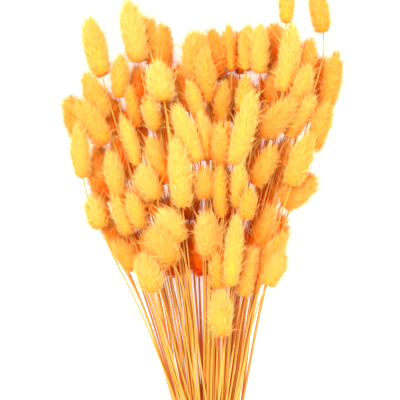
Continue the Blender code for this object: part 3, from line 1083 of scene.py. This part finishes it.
@dataclass
class BunnyTails:
    """The flowering stems: round straw with a cut, hollow end, and heads of hair on a tufted core."""

    stem_corners: int = 8
    stem_step: float = 9 * MM
    stem_radius: float = 0.9 * MM
    neck_radius: float = 0.5 * MM
    taper_from: float = 0.3  # of the stem's length
    hollow_share: float = 0.5  # of the radius at the cut end
    hollow_depth: float = 1.5 * MM
    into_head: float = 0.3  # of the head's length
    core_corners: int = 16
    core_rings: int = 15
    core_share: float = 0.76  # of the radius over the hairs
    core_relief: float = 0.10
    widest_at: float = 0.45
    base_bluntness: float = 3.2
    tip_bluntness: float = 2.3
    hair_share: float = 0.55  # the hair's length, of the head's width
    bow: float = 0.03  # the most that a head is bowed, of its length
    steepest: tuple[float, float] = (-0.9, 1.5)  # how fast the combing may close in or spread
    head_tone: float = 0.36
    # painted shade: how far a head's tone falls where the view from its core is shut in
    head_painted_shade: float = 2.5
    tone_of_head: float = 0.06
    tone_along: float = 0.3
    stem_tone: float = 0.6
    # painted shade: how far a stem's tone falls where the view straight up is shut in
    stem_painted_shade: float = 1.1
    stem_tones: float = 0.25
    floor_press: float = 1.2 * MM
    free_reach: float = 4 * MM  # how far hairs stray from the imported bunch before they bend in
    last_reach: float = 3 * MM  # and how much farther they can get at most
    softness: float = 0.5
    tip_hair: float = 0.95  # of the hair's length, how far before the head's tip its core ends
    core_start: float = 0.01  # of the head's length
    ring_spacing: tuple[float, float] = (0.4, 0.6)  # the shares of even rings and of ones crowded at the ends
    closing_rate: float = 1.6
    least_radius: float = 0.3 * MM
    hair_along: tuple[float, float] = (0.7, 0.3)  # of the hair's length, at the neck and added by the tip
    tones_of_stems: tuple[float, float] = (0.05, 0.95)
    map_of_stems: tuple[float, float] = (0.02, 0.98)
    map_wobble: float = 0.006  # keeps the bake map's faces from having no width
    map_stagger: float = 0.04

    def __post_init__(self) -> None:
        """Makes the finishes and the hair's nodes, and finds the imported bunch's box."""
        self.draw = np.random.RandomState(SEED)
        self.cover = HairCover()
        self.finishes = {depth: (depth.straw.material(), depth.hair.material()) for depth in Depth}
        self.surroundings: Surroundings | None = None
        boxes = np.array([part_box(name) for name in frame["nodes"]])
        self.box = boxes[:, 0].min(axis=0), boxes[:, 1].max(axis=0)

    def radius_at(self, share: np.ndarray) -> np.ndarray:
        """Finds a head's outline.

        Args:
            share: the places along the head, in shares of its length.

        Returns:
            The radius over the hairs at each place, in shares of the largest.
        """
        before = share < self.widest_at
        reach = np.where(before, self.widest_at, 1 - self.widest_at)
        blunt = np.where(before, self.base_bluntness, self.tip_bluntness)
        off = np.clip(np.abs(share - self.widest_at) / reach, 0.0, 1.0)
        return np.maximum(1 - off**blunt, 0.0) ** (1 / blunt)

    def look_round(self, tails: list[Tail]) -> None:
        """Notes what blocks the view in the whole bunch, for the painted shade."""
        self.surroundings = Surroundings(tails)

    def add_stem(self, draft: Draft, tail: Tail, band: tuple[float, float]) -> None:
        """Adds a stem with a hollow cut end.

        Args:
            draft: the mesh in the making.
            tail: the tail that the stem carries.
            band: the least and most of the stem's bake places, round the stem.
        """
        line = smooth_line([*tail.line, tail.neck + tail.axis * self.into_head], self.stem_step)
        along = np.linspace(0.0, 1.0, len(line))
        radii = np.interp(along, (self.taper_from, 1.0), (self.stem_radius, self.neck_radius))
        sunk = line[0] + unit(line[1] - line[0]) * self.hollow_depth
        line = np.vstack((sunk, line[0], line))
        radii = np.concatenate((radii[:1] * self.hollow_share, radii[:1] * self.hollow_share, radii))
        rings = rings_round(line, radii, self.stem_corners)
        rings[:2] = rings_round(line[2:4], radii[:2], self.stem_corners) + (line[:2] - line[2:4])[:, None]
        along = np.linspace(*self.map_of_stems, len(line))
        round_it = np.linspace(*band, self.stem_corners + 1)
        places = np.stack(np.meshgrid(along, round_it, indexing="ij"), axis=-1)
        own = self.draw.uniform(-self.stem_tones, self.stem_tones)
        overhead = np.tile((0.0, 0.0, 1.0), (len(line), 1))
        open_view = self.surroundings.openness(line, overhead)
        # painted shade: the stem's tone is deeper where the view straight up is shut in
        tone = own + self.stem_tone + self.stem_painted_shade * (open_view - HALF_OPEN)
        tone = np.clip(tone, *self.tones_of_stems)
        flat = np.zeros((*rings.shape[:2], 3))
        values = {
            "tone": np.repeat(tone[:, None], self.stem_corners, axis=1),
            "hairy": np.zeros(rings.shape[:2]),
            "hair": np.zeros(rings.shape[:2]),
            "comb": flat,
            "outward": flat,
        }
        draft.add_tube(rings, places, Surface.STRAW, values)

    def add_core(self, draft: Draft, tail: Tail, fullness: float) -> None:
        """Adds a head's core, with the values that comb and colour its hair, whose tone carries painted
        shade.

        Args:
            draft: the mesh in the making.
            tail: the tail whose head it is.
            fullness: how much longer than usual its hair is.
        """
        axis = np.array(tail.axis)
        length = np.linalg.norm(axis)
        hair = self.hair_share * tail.width * fullness
        end = 1.0 - self.tip_hair * hair / length
        share = np.linspace(0.0, 1.0, self.core_rings)
        crowded = 0.5 - 0.5 * np.cos(math.pi * share)
        even, crowding = self.ring_spacing
        at = self.core_start + (end - self.core_start) * (even * share + crowding * crowded)
        side = unit(np.cross(axis, (0.0, 0.0, 1.0)))
        bow = self.draw.uniform(-self.bow, self.bow) * length
        line = np.array(tail.neck) + at[:, None] * axis + (4 * at * (1 - at) * bow)[:, None] * side
        closing = np.sqrt(np.clip((end - at) / end, 0.0, 1.0))
        closing = np.minimum(1.0, self.closing_rate * closing)
        radius = 0.5 * tail.width * self.core_share * self.radius_at(at) * closing
        radius = np.maximum(radius, self.least_radius)
        raised = (np.arange(self.core_rings)[:, None] + np.arange(self.core_corners)) % 2
        radii = radius[:, None] * (1 + self.core_relief * (raised - 0.5))
        rings = rings_round(line, radii, self.core_corners)
        out = unit(rings_round(line, np.ones_like(radii), self.core_corners) - line[:, None])
        ahead = unit(np.gradient(line, axis=0))[:, None]
        outline = 0.5 * tail.width * self.radius_at(at)
        slope = np.clip(np.gradient(outline, at * length), *self.steepest)[:, None, None]
        corners = self.core_corners
        open_view = self.surroundings.openness(rings.reshape(-1, 3), out.reshape(-1, 3))
        open_view = open_view.reshape(-1, corners)
        own = self.head_tone + self.draw.normal(0.0, self.tone_of_head)
        tone = own + self.tone_along * (at[:, None] - self.widest_at)
        # painted shade: the tone is deeper and redder where the view from the core is shut in
        tone = np.clip(tone + self.head_painted_shade * (open_view - HALF_OPEN), TONE_LOW, TONE_HIGH)
        wobble = self.map_wobble * (np.arange(corners + 1) % 2 - 0.5)
        stagger = HAIR_ROOT_V + self.map_stagger * ((np.arange(corners + 1) + 1) % 2)
        round_it = np.append(np.arange(corners), 0)
        places = np.stack((tone[:, round_it] + wobble, stagger + 0 * tone[:, round_it]), axis=-1)
        at_neck, by_tip = self.hair_along
        values = {
            "tone": tone,
            "hairy": np.ones((self.core_rings, corners)),
            "hair": np.repeat((hair * (at_neck + by_tip * at))[:, None], corners, axis=1),
            "comb": unit(ahead + out * slope),
            "outward": unit(out - ahead * slope),
        }
        draft.add_tube(rings, places, Surface.HAIR, values)

    def press(self, mesh: bpy.types.Mesh) -> None:
        """Presses what would reach through the floor flat on it, and bends in what strays far off.

        Args:
            mesh: the mesh to press.
        """
        places = np.empty(3 * len(mesh.vertices), np.float32)
        mesh.vertices.foreach_get("co", places)
        places = places.reshape(-1, 3)
        low = places[:, 2] < self.floor_press
        places[low, 2] = self.floor_press * np.exp(places[low, 2] / self.floor_press - 1.0)
        for way, limit in zip((-1, 1), self.box):
            over = np.maximum(way * (places - limit) - self.free_reach, 0.0)
            places -= way * (over - self.last_reach * (1 - np.exp(-over / self.last_reach)))
        mesh.vertices.foreach_set("co", places.ravel())
        mesh.update()

    def soften(self, mesh: bpy.types.Mesh) -> None:
        """Turns the hairs' shading part of the way to the surface under them, which looks velvety.

        Args:
            mesh: the mesh to soften, with the surface's outward direction at each point.
        """
        outward = np.empty(3 * len(mesh.vertices), np.float32)
        mesh.attributes["outward"].data.foreach_get("vector", outward)
        corner = np.empty(len(mesh.loops), np.int32)
        mesh.loops.foreach_get("vertex_index", corner)
        under = outward.reshape(-1, 3)[corner]
        faces = np.empty(3 * len(mesh.polygons), np.float32)
        mesh.polygons.foreach_get("normal", faces)
        many = np.empty(len(mesh.polygons), np.int32)
        mesh.polygons.foreach_get("loop_total", many)
        own = np.repeat(faces.reshape(-1, 3), many, axis=0)
        hairy = np.linalg.norm(under, axis=1, keepdims=True) > 0.5
        mixed = np.where(hairy, self.softness * under + (1 - self.softness) * own, 0.0)
        mesh.normals_split_custom_set(mixed)

    def dress(self, name: str, tails: list[Tail], slot: str, seed: int) -> bpy.types.Object:
        """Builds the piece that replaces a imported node.

        Args:
            name: the node's name.
            tails: the node's tails.
            slot: the record's slot of the node.
            seed: the seed of the hairs' places.

        Returns:
            The piece.
        """
        straw, hair = self.finishes[Depth(slot)]
        draft = Draft()
        low, high = STRAW_BAND
        share = (high - low + STRAW_BAND_GAP) / len(tails)
        for number, tail in enumerate(tails):
            start = low + number * share
            self.add_stem(draft, tail, (start, start + share - STRAW_BAND_GAP))
            self.add_core(draft, tail, Depth(slot).fullness)
        bare = draft.mesh(name + "_bare")
        bare.materials.append(straw)
        bare.materials.append(hair)
        grown = self.cover.grow(bare, hair, Depth(slot).fullness, seed)
        bpy.data.meshes.remove(bare)
        self.press(grown)
        self.soften(grown)
        for spent in ("comb", "outward", "hair", "hairy"):
            grown.attributes.remove(grown.attributes[spent])
        piece = bpy.data.objects.new(name.replace("bunny_tail", "fluffy_tail"), grown)
        bpy.context.scene.collection.objects.link(piece)
        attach(piece, BODY)
        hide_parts(name)
        return piece


@dataclass
class TwineTie:
    """The twine round the stems: five turns of plied jute, tied off on top with a small knot."""

    node: str = "twine_tie"
    piece: str = "plied_twine_tie"
    slot: str = "jute_twine"
    turns: int = 5
    plies: int = 3
    ply_corners: int = 6
    ply_radius: float = 0.56  # of the twine's radius
    ply_offset: float = 0.46
    lay: float = 6.5 * MM  # one turn of a ply round the twine
    step: float = 0.8 * MM
    turn_points: int = 24
    knot_radius: float = 2.6 * MM
    knot_points: int = 24
    knot_share: float = 0.92  # of the whole trefoil
    knot_start: float = 0.25  # of its turn, in radians
    knot_lobe: float = 0.45
    knot_squash: float = 0.8
    knot_lift: float = 0.6  # the knot's middle over the turns, of the twine's radius
    knot_crossing: float = 0.55  # how far its strands pass over each other, of the twine's radius
    end_length: float = 17 * MM
    end_shares: tuple[float, float, float] = (0.4, 0.7, 1.0)  # where a loose end's points are
    end_bends: tuple[float, float] = (0.35, -0.5)
    end_droop: float = 0.42

    def __post_init__(self) -> None:
        """Takes the tie's place and the twine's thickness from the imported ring."""
        self.low, self.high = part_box(self.node)
        self.middle = Vector(((self.low.x + self.high.x) / 2, (self.low.y + self.high.y) / 2, 0.0))
        self.outside = (self.high.x - self.low.x) / 2
        self.middle.z = self.high.z - self.outside
        self.radius = (self.high.y - self.low.y) / self.turns / 2

    def winding(self) -> list[Vector]:
        """Finds the line of the turns, pressed flat where the bunch lies on them.

        Returns:
            The line's points.
        """
        points = []
        count = self.turn_points * self.turns
        reach = self.outside - self.radius
        for k in range(count + 1):
            share = k / count
            turn = 2 * math.pi * self.turns * share
            y = self.middle.y + (share - 0.5) * 2 * self.radius * (self.turns - 1)
            z = max(self.middle.z + reach * math.cos(turn), self.radius)
            points.append(Vector((self.middle.x + reach * math.sin(turn), y, z)))
        return points

    def knot(self) -> list[Vector]:
        """Finds the line of the knot: a trefoil laid flat on the turns, with an end to each side.

        Returns:
            The line's points.
        """
        top = Vector((self.middle.x, self.middle.y, self.high.z + self.knot_lift * self.radius))
        points = []
        for k in range(self.knot_points + 1):
            turn = 2 * math.pi * (k / self.knot_points) * self.knot_share + self.knot_start
            reach = self.knot_radius * (1 + self.knot_lobe * math.cos(3 * turn))
            flat = Vector((reach * math.cos(2 * turn), self.knot_squash * reach * math.sin(2 * turn), 0.0))
            crossing = Vector((0, 0, self.knot_crossing * self.radius * math.sin(3 * turn)))
            points.append(top + flat + crossing)
        start = self.loose_end(points[0], 1, self.end_bends[0])
        finish = self.loose_end(points[-1], -1, self.end_bends[1])
        return start[::-1] + points + finish

    def loose_end(self, start: Vector, aside: int, bend: float) -> list[Vector]:
        """Finds the line of a loose end, which sinks over the round of the bunch.

        Args:
            start: where it leaves the knot.
            aside: 1 for an end to the right and -1 for one to the left.
            bend: how far it bends towards the heads, of its length.

        Returns:
            The line's points after the start.
        """
        points = []
        for share in self.end_shares:
            off = aside * self.end_length * share
            ahead = bend * self.end_length * share * share
            points.append(start + Vector((off, ahead, -self.end_droop * self.end_length * share**2)))
        return points

    def plied(self, draft: Draft, points: list[Vector]) -> None:
        """Adds the plies of twine along a line.

        Args:
            draft: the mesh in the making.
            points: the line's points.
        """
        line = smooth_line(points, self.step)
        side, up = sides_carried(line)
        turn = 2 * math.pi * self.step * np.arange(len(line)) / self.lay
        for ply in range(self.plies):
            angle = (turn + 2 * math.pi * ply / self.plies)[:, None]
            middle = line + (side * np.cos(angle) + up * np.sin(angle)) * self.ply_offset * self.radius
            out = ways_round(*sides_carried(middle), self.ply_corners)
            rings = middle[:, None] + out * self.ply_radius * self.radius
            places = np.zeros((len(line), self.ply_corners + 1, 2))
            draft.add_tube(rings, places, Surface.STRAW, {})

    def dress(self) -> bpy.types.Object:
        """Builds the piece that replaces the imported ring.

        Returns:
            The piece.
        """
        draft = Draft()
        self.plied(draft, self.winding())
        self.plied(draft, self.knot())
        mesh = draft.mesh(self.piece)
        mesh.uv_layers.remove(mesh.uv_layers[BAKE_MAP])
        mesh.materials.append(JuteTwine().material())
        piece = bpy.data.objects.new(self.piece, mesh)
        bpy.context.scene.collection.objects.link(piece)
        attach(piece, BODY)
        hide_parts(self.node)
        return piece


@dataclass
class Studio:
    """The floor, the lights and the camera that looks straight down on the bunch."""

    tie_middle: Vector
    focus_height: float = 50 * MM
    view_span: float = 320 * MM  # what the photo's frame holds at the focus height
    view_from_tie: tuple[float, float] = (-7.2 * MM, 260 * MM)  # where the frame's middle is
    lens_mm: float = 300.0
    sensor_mm: float = 36.0
    floor_half: float = 3.0
    sky: float = 1.2
    key_power: float = 62.0
    key_size: float = 1.2
    key_place: tuple[float, float, float] = (-0.55, 0.75, 2.6)  # near the camera, to reach deep places
    fill_power: float = 10.0
    fill_place: tuple[float, float, float] = (1.2, -0.2, 1.6)

    def floor(self) -> None:
        """Lays the floor under the bunch."""
        mesh = bpy.data.meshes.new("floor")
        half = self.floor_half
        corners = [(-half, -half, 0), (half, -half, 0), (half, half, 0), (-half, half, 0)]
        mesh.from_pydata(corners, [], [(0, 1, 2, 3)])
        mesh.materials.append(PaperFloor().material())
        floor = bpy.data.objects.new("floor", mesh)
        bpy.context.scene.collection.objects.link(floor)

    def light(self, name: str, power: float, place: tuple[float, float, float]) -> None:
        """Adds a soft square light that faces the bunch.

        Args:
            name: the light's name.
            power: its power in watts.
            place: where it stands.
        """
        data = bpy.data.lights.new(name, "AREA")
        data.energy = power
        data.size = self.key_size
        lamp = bpy.data.objects.new(name, data)
        lamp.location = place
        aim = -Vector(place)
        lamp.rotation_euler = aim.to_track_quat("-Z", "Y").to_euler()
        bpy.context.scene.collection.objects.link(lamp)

    def sky_light(self) -> None:
        """Sets an even white surround."""
        world = bpy.data.worlds.new("surround")
        world.use_nodes = True
        background = world.node_tree.nodes["Background"]
        background.inputs["Color"].default_value = linear("#FFFFFF")
        background.inputs["Strength"].default_value = self.sky
        bpy.context.scene.world = world

    def camera(self) -> None:
        """Sets the camera above the bunch, with the heads to the top of the picture."""
        data = bpy.data.cameras.new("camera")
        data.lens = self.lens_mm
        data.sensor_width = self.sensor_mm
        camera = bpy.data.objects.new("camera", data)
        distance = self.view_span * self.lens_mm / self.sensor_mm
        across, along = self.view_from_tie
        height = self.focus_height + distance
        camera.location = (self.tie_middle.x + across, self.tie_middle.y + along, height)
        bpy.context.scene.collection.objects.link(camera)
        bpy.context.scene.camera = camera

    def build(self) -> None:
        """Makes the whole studio."""
        self.floor()
        self.light("key", self.key_power, self.key_place)
        self.light("fill", self.fill_power, self.fill_place)
        self.sky_light()
        self.camera()
        bpy.context.scene.view_settings.view_transform = "Standard"


def main() -> None:
    """Builds each sub-assembly in order and notes the sizes."""
    logging.basicConfig(level=logging.INFO, format="%(message)s")
    tie = TwineTie()
    Studio(tie.middle).build()
    tails = BunnyTails()
    slots = {part["node"]: part["material_slot"] for part in frame["record"]["subparts"]}
    names = [name for name in sorted(frame["nodes"]) if name != tie.node]
    packed = {name: PackedTails(frame["nodes"][name], tie.middle).read() for name in names}
    tails.look_round([tail for group in packed.values() for tail in group])
    pieces = [tails.dress(name, packed[name], slots[name], seed) for seed, name in enumerate(names)]
    pieces.append(tie.dress())
    total = 0
    for piece in pieces:
        count = sum(len(face.vertices) - 2 for face in piece.data.polygons)
        total += count
        LOG.info("%s: %d triangles", piece.name, count)
    tails.cover.remove()
    LOG.info("in all: %d triangles", total)


if __name__ == "__main__":
    main()
